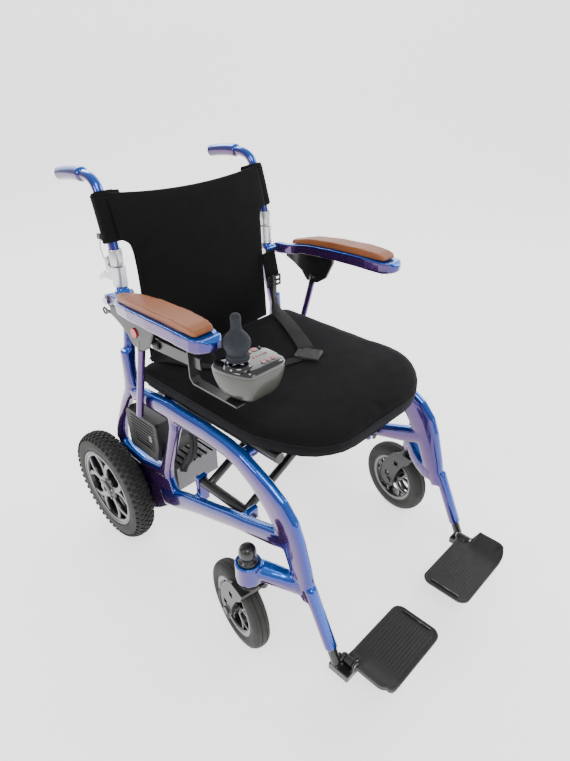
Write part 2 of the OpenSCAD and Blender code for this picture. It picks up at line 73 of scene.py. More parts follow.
def stage():
    d = Vector((math.sin(0.787), math.cos(0.787), 0)); r = Vector((d.y, -d.x, 0))
    prof = [(-6.0, 0.0), (2.6, 0.0)] + [(2.6 + 2.2 * math.sin(t), 2.2 - 2.2 * math.cos(t)) for t in [math.pi / 2 * k / 16 for k in range(1, 17)]] + [(4.8, 7.0)]
    v, f = [], []
    for s in (-9, 9):
        for q, h in prof: v.append(tuple(d * q + r * s + Vector((0, 0, h))))
    n = len(prof)
    for i in range(n - 1): f.append((i, i + 1, n + i + 1, n + i))
    me = bpy.data.meshes.new("floor"); me.from_pydata(v, [], f)
    me.polygons.foreach_set("use_smooth", [True] * len(me.polygons))
    o = link(me, "floor")
    m = bpy.data.materials.new("floor_mat"); m.use_nodes = True
    t = m.node_tree; p = t.nodes["Principled BSDF"]
    x = t.nodes.new("ShaderNodeTexNoise"); x.inputs["Scale"].default_value = 0.7; x.inputs["Detail"].default_value = 2
    c = t.nodes.new("ShaderNodeTexCoord"); t.links.new(c.outputs["Object"], x.inputs["Vector"])
    rp = t.nodes.new("ShaderNodeValToRGB"); rp.color_ramp.elements[0].color = (0.90, 0.90, 0.905, 1); rp.color_ramp.elements[1].color = (0.93, 0.93, 0.93, 1)
    t.links.new(x.outputs["Fac"], rp.inputs[0]); t.links.new(rp.outputs[0], p.inputs["Base Color"])
    p.inputs["Roughness"].default_value = 0.7; p.inputs["Specular IOR Level"].default_value = 0.1
    p.inputs["Emission Color"].default_value = (1, 1, 1, 1); p.inputs["Emission Strength"].default_value = 1.25
    me.materials.append(m)
    w = bpy.context.scene.world or bpy.data.worlds.new("world")
    bpy.context.scene.world = w; w.use_nodes = True
    bg = w.node_tree.nodes["Background"]; bg.inputs[0].default_value = (1, 1, 1, 1); bg.inputs[1].default_value = 0.62
    area("key", (-1.4, -1.6, 3.4), (0, 0, 0.4), 1.5, 62)
    area("left", (2.8, -1.2, 2.4), (0, 0, 0.5), 1.2, 30)
    area("back", (0.4, 2.6, 2.8), (0, 0, 0.6), 1.2, 30)
    area("strip", (-2.4, 0.3, 1.7), (0, 0.1, 0.5), 0.6, 14)
    area("front_fill", (0.2, -3.2, 1.1), (0, 0, 0.4), 1.2, 12)

camera(); stage()

# ------------------------------------------------------------------ materials
class Mat:
    def __init__(self, name):
        self.m = bpy.data.materials.new(name); self.m.use_nodes = True
        self.t = self.m.node_tree; self.b = self.t.nodes["Principled BSDF"]
        self.co = self.t.nodes.new("ShaderNodeTexCoord")
    def n(self, kind, **k):
        x = self.t.nodes.new(kind)
        for a, v in k.items(): setattr(x, a, v)
        return x
    def l(self, a, b): self.t.links.new(a, b)
    def set(self, **k):
        for a, v in k.items(): self.b.inputs[a.replace("_", " ")].default_value = v
        return self
    def noise(self, scale, detail=4, rough=0.55, src=None):
        x = self.n("ShaderNodeTexNoise"); x.inputs["Scale"].default_value = scale; x.inputs["Detail"].default_value = detail; x.inputs["Roughness"].default_value = rough
        self.l(src or self.co.outputs["Object"], x.inputs["Vector"]); return x.outputs["Fac"]
    def voro(self, scale, feature="F1", src=None):
        x = self.n("ShaderNodeTexVoronoi", feature=feature); x.inputs["Scale"].default_value = scale
        self.l(src or self.co.outputs["Object"], x.inputs["Vector"]); return x.outputs["Distance"]
    def wave(self, scale, axis="X", src=None, dist=0.0):
        x = self.n("ShaderNodeTexWave", bands_direction=axis); x.inputs["Scale"].default_value = scale; x.inputs["Distortion"].default_value = dist
        self.l(src or self.co.outputs["Object"], x.inputs["Vector"]); return x.outputs["Fac"]
    def ramp(self, fac, stops):
        x = self.n("ShaderNodeValToRGB"); e = x.color_ramp.elements
        e[0].position, e[0].color = stops[0][0], (*stops[0][1], 1)
        e[1].position, e[1].color = stops[-1][0], (*stops[-1][1], 1)
        for p, c in stops[1:-1]:
            q = e.new(p); q.color = (*c, 1)
        self.l(fac, x.inputs[0]); return x.outputs[0]
    def math(self, op, a, b):
        x = self.n("ShaderNodeMath", operation=op)
        for i, v in enumerate((a, b)):
            if isinstance(v, (int, float)): x.inputs[i].default_value = v
            else: self.l(v, x.inputs[i])
        return x.outputs[0]
    def mix(self, fac, a, b):
        x = self.n("ShaderNodeMix", data_type="RGBA")
        if isinstance(fac, (int, float)): x.inputs[0].default_value = fac
        else: self.l(fac, x.inputs[0])
        for i, v in ((6, a), (7, b)):
            if isinstance(v, tuple): x.inputs[i].default_value = (*v, 1)
            else: self.l(v, x.inputs[i])
        return x.outputs[2]
    def bump(self, h, strength, dist=0.001, prev=None):
        x = self.n("ShaderNodeBump"); x.inputs["Strength"].default_value = strength; x.inputs["Distance"].default_value = dist
        self.l(h, x.inputs["Height"])
        if prev is not None: self.l(prev, x.inputs["Normal"])
        return x.outputs[0]
    def normal(self, s): self.l(s, self.b.inputs["Normal"]); return self
    def color(self, s): self.l(s, self.b.inputs["Base Color"]); return self
    def rough(self, fac, lo, hi):
        x = self.n("ShaderNodeMapRange"); x.inputs[3].default_value = lo; x.inputs[4].default_value = hi
        self.l(fac, x.inputs[0]); self.l(x.outputs[0], self.b.inputs["Roughness"]); return self

# blue/purple colour-shift frame paint whose colour follows the object-space normal: faces turned up get a painted
# highlight, faces turned down get painted shade
def flip_paint():
    q = Mat("flip_paint_painted_light_m"); q.set(Metallic=0.7, Roughness=0.2, Coat_Weight=1.0, Coat_Roughness=0.03)
    sx = q.n("ShaderNodeSeparateXYZ"); q.l(q.co.outputs["Normal"], sx.inputs[0])
    # normal Z lifts the ramp: upward faces painted lighter (painted highlight), downward faces painted darker (painted
    # shade)
    v = q.math("ADD", q.math("MULTIPLY", sx.outputs["Z"], 0.5), 0.5)
    # normal Y: faces turned towards -Y are painted a little lighter, as painted light
    v = q.math("ADD", v, q.math("MULTIPLY", sx.outputs["Y"], -0.14))
    v = q.math("ADD", v, q.math("MULTIPLY", q.math("SUBTRACT", q.noise(7, 2), 0.5), 0.10))
    # ramp: the near-black navy end is painted shade for downward faces, the purple band is the paint's own colour
    # shift, the bright blue end is painted highlight for upward faces
    c = q.ramp(v, [(0.10, (0.006, 0.003, 0.02)), (0.32, (0.045, 0.010, 0.075)), (0.48, (0.085, 0.026, 0.150)), (0.58, (0.028, 0.012, 0.150)),
                   (0.70, (0.003, 0.016, 0.22)), (0.84, (0.0, 0.060, 0.42)), (0.97, (0.0, 0.125, 0.60))])
    flake = q.voro(1600)
    c2 = q.mix(q.math("MULTIPLY", q.math("LESS_THAN", flake, 0.22), 0.22), c, (0.12, 0.14, 0.5))
    q.color(c2); q.rough(q.noise(60, 4), 0.15, 0.25)
    q.normal(q.bump(q.noise(420, 3), 0.04, 0.0004)); return q.m

def metal(name, col, rough=(0.25, 0.4), metallic=1.0, coat=0.0, brush=None, speck=0.05):
    q = Mat(name); q.set(Metallic=metallic, Coat_Weight=coat, Coat_Roughness=0.08)
    base = q.ramp(q.noise(14, 5), [(0.3, tuple(x * (1 - speck) for x in col)), (0.7, tuple(min(1, x * (1 + speck)) for x in col))])
    g = q.n("ShaderNodeNewGeometry")
    edge = q.math("MULTIPLY", q.math("GREATER_THAN", g.outputs["Pointiness"], 0.56), 0.25)
    q.color(q.mix(edge, base, tuple(min(1, x * 1.5 + 0.02) for x in col)))
    q.rough(q.noise(45, 5), *rough)
    h = q.noise(700, 3) if brush is None else q.noise(brush, 2)
    q.normal(q.bump(h, 0.08, 0.0003)); return q.m

def plastic(name, col, rough=(0.4, 0.55), grain=900, strength=0.25, coat=0.0, spec=0.5):
    q = Mat(name); q.set(Coat_Weight=coat, Coat_Roughness=0.05, Specular_IOR_Level=spec)
    q.color(q.ramp(q.noise(11, 5), [(0.35, tuple(x * 0.86 for x in col)), (0.65, tuple(x * 1.12 for x in col))]))
    q.rough(q.noise(60, 4), *rough)
    q.normal(q.bump(q.voro(grain), strength, 0.0003)); return q.m

def fabric(name, col, period=1400, sheen=0.3, strength=0.35, fold=0.25):
    q = Mat(name); q.set(Sheen_Weight=sheen, Sheen_Roughness=0.5, Sheen_Tint=(0.7, 0.72, 0.8, 1), Specular_IOR_Level=0.15)
    mp = q.n("ShaderNodeMapping"); mp.inputs["Scale"].default_value = (1.0, 1.0, 0.6); q.l(q.co.outputs["Object"], mp.inputs[0])
    w = q.voro(period, "F1", mp.outputs[0])
    lo = tuple(x * 0.75 for x in col); hi = tuple(x * 1.25 for x in col)
    base = q.ramp(w, [(0.1, hi), (0.9, lo)])
    q.color(q.mix(q.math("MULTIPLY", q.noise(6, 4), 0.3), base, tuple(x * 1.5 for x in col)))
    q.rough(q.noise(30, 4), 0.8, 0.95)
    n1 = q.bump(q.noise(14, 3), fold, 0.004)
    q.normal(q.bump(w, strength, 0.0003, n1)); return q.m

def webbing_mat():
    q = Mat("webbing_m"); q.set(Sheen_Weight=0.06, Sheen_Roughness=0.4, Specular_IOR_Level=0.2)
    a = q.wave(520, "DIAGONAL"); b = q.noise(600, 2)
    q.color(q.ramp(a, [(0.25, (0.005, 0.005, 0.006)), (0.9, (0.016, 0.0165, 0.018))]))
    q.rough(q.noise(40, 3), 0.6, 0.8)
    q.normal(q.bump(b, 0.35, 0.0003, q.bump(a, 0.7, 0.0004))); return q.m

def leather():
    q = Mat("tan_leather_m"); q.set(Coat_Weight=0.12, Coat_Roughness=0.35, Specular_IOR_Level=0.4)
    v = q.voro(520, "DISTANCE_TO_EDGE")
    base = q.ramp(q.noise(9, 6), [(0.3, (0.21, 0.060, 0.017)), (0.55, (0.27, 0.082, 0.024)), (0.75, (0.32, 0.105, 0.034))])
    q.color(q.mix(q.math("MULTIPLY", q.math("LESS_THAN", v, 0.06), 0.35), base, (0.28, 0.11, 0.045)))
    q.rough(q.noise(70, 4), 0.38, 0.55)
    q.normal(q.bump(v, 0.35, 0.0004, q.bump(q.noise(25, 4), 0.12, 0.002))); return q.m

def rubber(name, col, wall=None):
    q = Mat(name); q.set(Specular_IOR_Level=0.3)
    q.color(q.ramp(q.noise(22, 6), [(0.3, tuple(x * 0.75 for x in col)), (0.6, col), (0.8, tuple(x * 1.5 for x in col))]))
    q.rough(q.noise(50, 4), 0.6, 0.85)
    q.normal(q.bump(q.noise(900, 3), 0.25, 0.0003)); return q.m

M = dict(
    # frame paint with painted highlight on upward faces and painted shade on downward faces
    flip=flip_paint(),
    silver=metal("silver_m", (0.62, 0.63, 0.65), (0.22, 0.36), 0.85, 0.3),
    steel=metal("steel_m", (0.55, 0.55, 0.56), (0.2, 0.38), 1.0, brush=260),
    black=metal("black_paint_m", (0.006, 0.006, 0.007), (0.28, 0.45), 0.1, 0.35),
    fork=metal("fork_m", (0.016, 0.0165, 0.0165), (0.32, 0.5), 0.3, 0.2),
    rim=metal("rim_m", (0.009, 0.0095, 0.011), (0.22, 0.4), 0.35, 0.4),
    motor=metal("motor_m", (0.006, 0.006, 0.0065), (0.3, 0.5), 0.3, 0.1),
    alloy=metal("alloy_m", (0.13, 0.13, 0.14), (0.35, 0.5), 0.8),
    plastic=plastic("black_plastic_m", (0.007, 0.007, 0.008), (0.42, 0.6), 1100, 0.3),
    foot=plastic("foot_plastic_m", (0.008, 0.008, 0.009), (0.5, 0.68), 700, 0.35),
    olive=plastic("olive_plastic_m", (0.036, 0.036, 0.030), (0.32, 0.45), 1400, 0.2, 0.25),
    gloss=plastic("gloss_black_m", (0.008, 0.008, 0.009), (0.06, 0.14), 400, 0.02, 1.0),
    red=plastic("red_m", (0.55, 0.012, 0.015), (0.18, 0.3), 900, 0.05, 0.6),
    board=plastic("board_m", (0.01, 0.09, 0.04), (0.3, 0.5), 500, 0.2),
    knob=rubber("knob_m", (0.014, 0.017, 0.023)),
    cable=rubber("cable_m", (0.012, 0.012, 0.013)),
    grip=rubber("grip_m", (0.015, 0.015, 0.016)),
    tyre=rubber("tyre_m", (0.010, 0.010, 0.0105)),
    wall=rubber("sidewall_m", (0.034, 0.035, 0.032)),
    fabric=fabric("black_fabric_m", (0.0026, 0.0026, 0.0031), 1400, 0.05),
    band=fabric("band_fabric_m", (0.005, 0.005, 0.006), 900, 0.08, 0.6, 0.1),
    web=webbing_mat(),
    leather=leather(),
)
SLOT = dict(flip="flip_paint", silver="silver_paint", steel="steel", black="black_paint", fork="fork_grey", rim="rim_black", motor="motor_black", alloy="controller_alloy",
    plastic="black_plastic", foot="black_plastic", olive="olive_plastic", gloss="gloss_black", red="red_plastic", board="board_green", knob="knob_rubber", cable="cable_black",
    grip="grip_rubber", tyre="tyre_grey", wall="tyre_grey", fabric="black_fabric", band="black_fabric", web="webbing", leather="tan_leather")

# ------------------------------------------------------------------ mesh helpers
def P(x, y, z): return Vector((x / 1000, (y) / 1000 + YS, z / 1000))

def mesh_obj(name, verts, faces, mats, body, replaces=(), mids=None, smooth=True, angle=None):
    me = bpy.data.meshes.new(name)
    me.from_pydata([tuple(v) for v in verts], [], faces)
    bm = bmesh.new(); bm.from_mesh(me)
    bmesh.ops.recalc_face_normals(bm, faces=bm.faces)
    bm.to_mesh(me); bm.free()
    if isinstance(mats, str): mats = [mats]
    for k in mats: me.materials.append(M[k])
    if mids:
        for p, i in zip(me.polygons, mids): p.material_index = i
    me.polygons.foreach_set("use_smooth", [smooth] * len(me.polygons))
    o = link(me, name)
    if angle is not None:
        me.set_sharp_from_angle(angle=math.radians(angle))
    finish_piece(o, body, replaces)
    return o

def finish_piece(o, body, replaces=()):
    if body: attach(o, body)
    if replaces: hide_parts(*([replaces] if isinstance(replaces, str) else replaces))

class B:
    """collects geometry: vertices, faces, material index per face"""
    def __init__(s): s.v, s.f, s.m = [], [], []
    def add(s, v, f, m=0):
        k = len(s.v); s.v += [Vector(p) for p in v]; s.f += [tuple(i + k for i in q) for q in f]; s.m += [m] * len(f)
    def ring_loft(s, rings, m=0, cap=True, closed=False):
        n = len(rings[0]); v = [p for r in rings for p in r]; f = []
        R = len(rings)
        for i in range(R if closed else R - 1):
            j = (i + 1) % R
            for k in range(n): f.append((i * n + k, i * n + (k + 1) % n, j * n + (k + 1) % n, j * n + k))
        if cap and not closed:
            f.append(tuple(range(n - 1, -1, -1))); f.append(tuple((R - 1) * n + k for k in range(n)))
        s.add(v, f, m)
    def tube(s, path, W, H=None, n=16, pw=2.0, m=0, side=Vector((1, 0, 0)), cap=True, round_end=0):
        H = H or W; N = len(path)
        if not isinstance(W, (list, tuple)): W = [W] * N
        if not isinstance(H, (list, tuple)): H = [H] * N
        rings = []
        for i in range(N):
            t = (path[min(i + 1, N - 1)] - path[max(i - 1, 0)]).normalized()
            u = side - t * side.dot(t)
            u = u.normalized() if u.length > 1e-6 else Vector((0, 1, 0))
            w = t.cross(u); r = []
            for k in range(n):
                a = 2 * math.pi * (k + 0.5) / n; c, q = math.cos(a), math.sin(a)
                r.append(path[i] + u * W[i] * math.copysign(abs(c) ** (2 / pw), c) + w * H[i] * math.copysign(abs(q) ** (2 / pw), q))
            rings.append(r)
        s.ring_loft(rings, m, cap)
    def lathe(s, prof, origin, axis, n=64, m=0, closed=True):
        """prof: [(radius, distance along axis)]"""
        ax = Vector(axis).normalized(); u = ax.orthogonal().normalized(); w = ax.cross(u)
        rings = []
        for k in range(n):
            a = 2 * math.pi * k / n; d = u * math.cos(a) + w * math.sin(a)
            rings.append([origin + d * p[0] + ax * p[1] for p in prof])
        L = len(prof); v = [p for r in rings for p in r]; f = []
        for k in range(n):
            j = (k + 1) % n
            for i in range(L if closed else L - 1):
                f.append((k * L + i, k * L + (i + 1) % L, j * L + (i + 1) % L, j * L + i))
        s.add(v, f, m)
    def box(s, c, hx, hy, hz, ax=None, m=0, ch=0.0):
        """box centred c with half sizes; ax = 3 axes; ch = chamfer"""
        ax = ax or (Vector((1, 0, 0)), Vector((0, 1, 0)), Vector((0, 0, 1)))
        rings = []
        for z, g in ((-hz, ch), (-hz + ch, 0), (hz - ch, 0), (hz, ch)):
            pts = [(-hx + g, -hy + ch + g), (-hx + ch + g, -hy + g), (hx - ch - g, -hy + g), (hx - g, -hy + ch + g), (hx - g, hy - ch - g), (hx - ch - g, hy - g), (-hx + ch + g, hy - g), (-hx + g, hy - ch - g)]
            rings.append([c + ax[0] * p[0] + ax[1] * p[1] + ax[2] * z for p in pts])
        s.ring_loft(rings, m)
    def mirrored(s):
        o = B(); o.v = [Vector((-p.x, p.y, p.z)) for p in s.v]; o.f = [tuple(reversed(q)) for q in s.f]; o.m = list(s.m); return o
    def obj(s, name, mats, body, replaces=(), smooth=True, angle=35, slot=None):
        return mesh_obj(name, s.v, s.f, mats, body, replaces, s.m, smooth, angle)

def both(name, build, mats, body, replaces=(), **k):
    """builds the right-hand piece and its mirror image"""
    out = []
    for side in ("right", "left"):
        b = build(); b = b if side == "right" else b.mirrored()
        rp = [side + "_" + r for r in ([replaces] if isinstance(replaces, str) else replaces)]
        out.append(b.obj(side + "_" + name, mats, side + "_" + body, rp, **k))
    return out

def evaluated(o):
    dg = bpy.context.evaluated_depsgraph_get(); dg.update()
    return bpy.data.meshes.new_from_object(o.evaluated_get(dg))

def refine(node, name, mat, body, voxel=0.003, smooth=6, extra=None):
    """a rounded, cast-looking version of a CAD node: voxel remesh and smoothing"""
    src = NODES[node]
    me = src.data.copy(); o = link(me, name + "_tmp")
    r = o.modifiers.new("r", "REMESH"); r.mode = "VOXEL"; r.voxel_size = voxel; r.adaptivity = 0.0
    s = o.modifiers.new("s", "SMOOTH"); s.factor = 0.5; s.iterations = smooth
    m2 = evaluated(o)
    bpy.data.objects.remove(o)
    m2.name = name; m2.materials.clear(); m2.materials.append(M[mat])
    m2.polygons.foreach_set("use_smooth", [True] * len(m2.polygons))
    p = link(m2, name)
    if extra: extra(p)
    finish_piece(p, body, node)
    return p

def paint_cad(node, mat, bevel=0.0006):
    o = NODES[node]
    if not o.material_slots: o.data.materials.append(M[mat])
    for sl in o.material_slots: sl.link = "OBJECT"; sl.material = M[mat]
    if bevel:
        b = o.modifiers.new("edge", "BEVEL"); b.width = bevel; b.segments = 2; b.limit_method = "ANGLE"; b.angle_limit = math.radians(40)

SIDES = (("right", -1), ("left", 1))

M["lip"] = metal("lip_m", (0.17, 0.17, 0.175), (0.3, 0.45), 0.6, 0.2)
SLOT["lip"] = "rim_black"
M["led"] = plastic("led_m", (0.5, 0.06, 0.01), (0.15, 0.3), 900, 0.05, 0.5); SLOT["led"] = "red_plastic"
X1, Y1, Z1 = Vector((1, 0, 0)), Vector((0, 1, 0)), Vector((0, 0, 1))

def catmull(pts, n, closed=False):
    out = []; N = len(pts); segs = N if closed else N - 1
    for i in range(segs):
        g = (lambda k: pts[k % N]) if closed else (lambda k: pts[max(0, min(N - 1, k))])
        p0, p1, p2, p3 = g(i - 1), g(i), g(i + 1), g(i + 2)
        for j in range(n):
            t = j / n
            out.append(0.5 * ((2 * p1) + (p2 - p0) * t + (2 * p0 - 5 * p1 + 4 * p2 - p3) * t * t + (3 * p1 - p0 - 3 * p2 + p3) * t ** 3))
    if not closed: out.append(pts[-1].copy())
    return out

# ---------------- painted castings
for sd, g in SIDES:
    refine(sd + "_side_frame", sd + "_frame_casting", "flip", sd + "_frame", 0.0028, 7)
    refine(sd + "_armrest_arm", sd + "_armrest_casting", "flip", sd + "_armrest", 0.0016, 10)
    def post_paint(o):
        o.data.materials.append(M["flip"])
        for pl in o.data.polygons:
            if pl.center.z < 0.606: pl.material_index = 1
    refine(sd + "_armrest_bracket", sd + "_armrest_fan", "black", sd + "_armrest", 0.0016, 5, post_paint)
    refine(sd + "_footrest_hanger", sd + "_hanger_casting", "black", sd + "_hanger", 0.0016, 3)
    for n, m in (("back_hinge", "silver"), ("back_lever", "silver"), ("armrest_pin", "steel"), ("fold_pin", "steel"), ("footplate_pin", "steel"),
                 ("caster_fork", "fork"), ("armrest_latch", "red"), ("motor", "motor")):
        paint_cad(sd + "_" + n, m, 0.0008)
for n, m in (("cross_arm_a", "black"), ("cross_arm_b", "black"), ("cross_bolts", "steel"), ("battery_box", "plastic"), ("battery_cover", "plastic"),
             ("controller_box", "alloy"), ("joystick_bracket", "black"), ("joystick_gimbal", "steel"), ("joystick_board", "board"), ("joystick_buttons", "red")):
    if n in NODES: paint_cad(n, m, 0.0008)

# ---------------- back canes and handles
def cane():
    b = B()
    b.lathe([(0.0105, 0), (0.0138, 0.0006), (0.0142, 0.003), (0.0142, 0.0315), (0.0132, 0.034), (0.0105, 0.034)], P(-216, -34, 749), Z1, 48, 1)
    b.box(P(-216, -24, 757.5), 0.0062, 0.0105, 0.0082, None, 1, 0.0012)
    b.lathe([(0.0042, -0.0064), (0.008, -0.0062), (0.0086, -0.0052), (0.0086, 0.0052), (0.008, 0.0062), (0.0042, 0.0064)], P(-216, -13, 758), X1, 40, 1)
    path = catmull([P(*q) for q in ((-216, -34, 760), (-216, -31, 785), (-215, -24, 820), (-214, -15, 855), (-213, -6, 884), (-212, 6, 906), (-211, 26, 917), (-211, 56, 920), (-211, 60, 920))], 6)
    b.tube(path, 0.011, None, 24, 2.0, 0)
    return b
both("cane", cane, ["flip", "silver"], "back", "back_cane")
def grip():
    b = B()
    path = catmull([P(*q) for q in ((-211, 50, 919.6), (-211, 64, 920), (-211, 92, 919), (-211, 124, 916), (-211, 148, 912.5), (-211, 158, 911))], 8)
    N = len(path); W = []
    for i in range(N):
        t = i / (N - 1)
        w = 0.0112 + 0.0042 * min(1, t / 0.12) - 0.001 * t
        if t > 0.9: w *= math.sqrt(max(0.02, 1 - ((t - 0.9) / 0.1) ** 2 * 0.9))
        W.append(w)
    b.tube(path, W, None, 28, 2.15, 0)
    return b
both("handle", grip, ["flip"], "back", "hand_grip")

# ---------------- rear wheels
def rear_tyre():
    b = B(); o = P(0, 43, 152)
    prof = [(101.5, -13), (103, -20), (108, -23.4), (110, -23.2), (111, -24.4), (116, -25.4), (121, -25.9), (128, -25.8), (130, -25.2), (132, -25.3), (138, -23.8), (143.5, -20), (146.6, -14), (148, -7), (148.3, 0)]
    prof = prof + [(r, -x) for r, x in reversed(prof[:-1])]
    b.lathe([(r / 1000, (x - 290) / 1000) for r, x in prof], o, X1, 120, 0)
    n = 50
    for i in range(n):
        for k, (x, r, tilt, hx, ht) in enumerate(((-4.4, 147.2, 0, 3.9, 6.3), (4.6, 147.2, 0, 3.9, 6.3), (-13.6, 145.0, 24, 4.3, 5.4), (13.8, 145.0, -24, 4.3, 5.4), (-21.6, 139.6, 55, 4.2, 4.4), (21.6, 139.6, -55, 4.2, 4.4))):
            a = 2 * math.pi * (i + (0.5 if k in (1, 2, 5) else 0)) / n
            R = Vector((0, math.cos(a), math.sin(a))); T = Vector((0, -math.sin(a), math.cos(a)))
            th = math.radians(tilt) * (1 if True else -1)
            ax = X1 * math.cos(th) + R * math.sin(th); up = R * math.cos(th) - X1 * math.sin(th)
            c = o + X1 * (x - 290) / 1000 + R * (r / 1000)
            b.box(c, hx / 1000, ht / 1000, 0.0042, (ax, T, up), 1, 0.0007)
    return b
both("rear_tyre", rear_tyre, ["wall", "tyre"], "wheel", "wheel_tyre", angle=30)

def spoke_wheel(b, o, xo, r0, rs, r1, n, spread, wx, h0, h1, m, phase=0.0, split=True):
    for i in range(n):
        a = 2 * math.pi * i / n + phase
        def pt(r, da, dx=0.0):
            return o + Vector((xo + dx, r * math.cos(a + da), r * math.sin(a + da)))
        for s in ((-1, 1) if split else (0,)):
            path = catmull([pt(r0, 0.10 * s), pt(rs, 0.055 * s), pt((rs + r1) / 2, spread * 0.45 * s), pt(r1, spread * s)], 5)
            N = len(path)
            b.tube(path, [wx] * N, [h0 + (h1 - h0) * k / (N - 1) for k in range(N)], 12, 4.5, m)

def rear_rim():
    b = B(); o = P(0, 43, 152)
    b.lathe([(r / 1000, x / 1000) for r, x in ((92, -309), (94, -312), (99, -312.2), (102, -315), (106, -314.6), (107.2, -312.8), (104, -309), (100, -305.6), (100, -274.4), (107.2, -267.8), (104, -266.8), (98, -270), (93, -276), (90.5, -290))], o, X1, 120, 0)
    b.lathe([(r / 1000, x / 1000) for r, x in ((94, -312.1), (95.5, -313.6), (98.6, -313.8), (100, -312.4))], o, X1, 120, 1)
    b.lathe([(r / 1000, x / 1000) for r, x in ((8.06, -318), (20, -318), (23, -316.5), (25, -313), (33, -310.5), (35.5, -307), (35.5, -294), (8.06, -292))], o, X1, 72, 0)
    b.lathe([(r / 1000, x / 1000) for r, x in ((8.06, -317.8), (12.5, -320), (16.5, -319.6), (17.5, -317.6))], o, X1, 6, 1)
    spoke_wheel(b, o, -0.3045, 0.028, 0.050, 0.0955, 5, 0.36, 0.0060, 0.0078, 0.0070, 0, 0.31)
    spoke_wheel(b, o, -0.3098, 0.030, 0.050, 0.0945, 5, 0.36, 0.0012, 0.0048, 0.0042, 1, 0.31)
    for i in range(5):
        a = 2 * math.pi * i / 5 + 0.31
        R = Vector((0, math.cos(a), math.sin(a)))
        b.lathe([(0.0004, -0.3152), (0.0032, -0.3152), (0.0036, -0.3142), (0.0036, -0.309), (0.0004, -0.309)], o + R * 0.0285, X1, 20, 1)
    b.lathe([(r / 1000, x / 1000) for r, x in ((36, -296), (60, -293.5), (80, -290.6), (93, -289), (93, -287.4), (60, -290), (36, -293))], o, X1, 96, 0)
    return b
both("rear_rim", rear_rim, ["rim", "lip"], "wheel", "wheel_rim", angle=30)
# cooling fins round the motor
def fins():
    b = B(); o = P(0, 43, 152)
    for i in range(44):
        a = 2 * math.pi * i / 44; R = Vector((0, math.cos(a), math.sin(a))); T = Vector((0, -math.sin(a), math.cos(a)))
        b.box(o + X1 * -0.2585 + R * 0.1035, 0.0062, 0.0016, 0.0058, (X1, T, R), 0, 0.0006)
        if i % 2 == 0: b.box(o + X1 * -0.2505 + R * 0.072, 0.0016, 0.0018, 0.024, (X1, T, R), 0, 0.0006)
    b.lathe([(0.036, -0.2506), (0.036, -0.2478), (0.040, -0.2470), (0.046, -0.2478), (0.047, -0.2506)], o, X1, 64, 0)
    return b
both("motor_fins", fins, ["motor"], "frame", ())

# ---------------- casters
def caster(side, g):
    yaw = math.radians(-11 if g < 0 else -9)
    T = Matrix.Translation(P(g * 293, -491, 0)) @ Matrix.Rotation(yaw, 4, "Z")
    def done(b, name, mats, body, rep=(), **k):
        b.v = [T @ v for v in b.v]; return b.obj(side + "_" + name, mats, side + "_" + body, rep, **k)
    o = Vector((0, 0.049, 0.100))
    b = B()
    prof = [(66.2, -12), (67.5, -16), (71, -17.8), (73, -17.4), (74.5, -18.6), (80, -19.5), (86, -19.3), (88, -18.2), (92, -16.8), (95.5, -13.6), (98.2, -9.6), (99.3, -6.9), (97.8, -6.3), (97.8, -5.3), (99.6, -4.7), (100, 0)]
    prof = prof + [(r, -x) for r, x in reversed(prof[:-1])]
    b.lathe([(r / 1000, x / 1000) for r, x in prof], o, X1, 96, 0)
    n = 60
    for i in range(n):
        a = 2 * math.pi * i / n; R = Vector((0, math.cos(a), math.sin(a))); Tt = Vector((0, -math.sin(a), math.cos(a)))
        for s in (-1, 1):
            th = math.radians(38 * -s); ax = X1 * math.cos(th) + R * math.sin(th); up = R * math.cos(th) - X1 * math.sin(th)
            b.box(o + X1 * (s * 0.0132) + R * 0.0950, 0.0022, 0.0036, 0.0010, (ax, Tt, up), 0, 0.0003)
    done(b, "caster_tread", ["wall", "tyre"], "caster_wheel", side + "_caster_tyre", angle=35)
    b = B()
    b.lathe([(r / 1000, x / 1000) for r, x in ((57, -13), (60, -15.4), (63, -15.6), (66, -17), (68.5, -16.6), (66.2, -12), (66.2, 12), (68.5, 16.6), (66, 17), (63, 15.6), (60, 15.4), (57, 13), (56, 0))], o, X1, 96, 0)
    b.lathe([(r / 1000, x / 1000) for r, x in ((60.4, -15.5), (61.5, -16.4), (64.5, -16.9), (65.6, -16.8), (63, -15.2))], o, X1, 96, 1)
    b.lathe([(r / 1000, x / 1000) for r, x in ((6.06, -24), (13, -24), (15, -22), (17, -13), (21, -10), (21, 10), (17, 13), (15, 22), (13, 24), (6.06, 24))], o, X1, 64, 0)
    for s in (-1, 1):
        spoke_wheel(b, o, s * 0.0075, 0.017, 0.030, 0.0585, 5, 0.30, 0.0036, 0.0042, 0.0036, 0, 0.2)
        spoke_wheel(b, o, s * 0.0112, 0.019, 0.030, 0.0580, 5, 0.30, 0.0007, 0.0024, 0.0020, 1, 0.2)
    done(b, "caster_hub", ["rim", "lip"], "caster_wheel", side + "_caster_rim", angle=30)
    # fork trim: bearing ring, bolt heads, and a thin bead along each fork leg's edge
    b = B()
    b.lathe([(0.0205, 0.2045), (0.0228, 0.206), (0.0228, 0.213), (0.0205, 0.2155)], Vector((0, 0, 0)), Z1, 64, 0)
    for s in (-1, 1):
        b.lathe([(0.0004, s * 0.0335), (0.0105, s * 0.0335), (0.0125, s * 0.0325), (0.0125, s * 0.0318), (0.0004, s * 0.0318)], Vector((0, 0.049, 0.100)), X1, 48, 1)
        rim = [(30, 100), (33, 92), (44, 83.4), (58, 82.6), (73, 91.6), (79.6, 112), (77.4, 136.4)]
        path = catmull([Vector((s * 0.0326, y / 1000, z / 1000)) for y, z in rim], 5)
        b.tube(path, 0.0013, 0.0018, 8, 3, 0)
    done(b, "fork_trim", ["fork", "black"], "caster_fork")
for sd, g in SIDES: caster(sd, g)
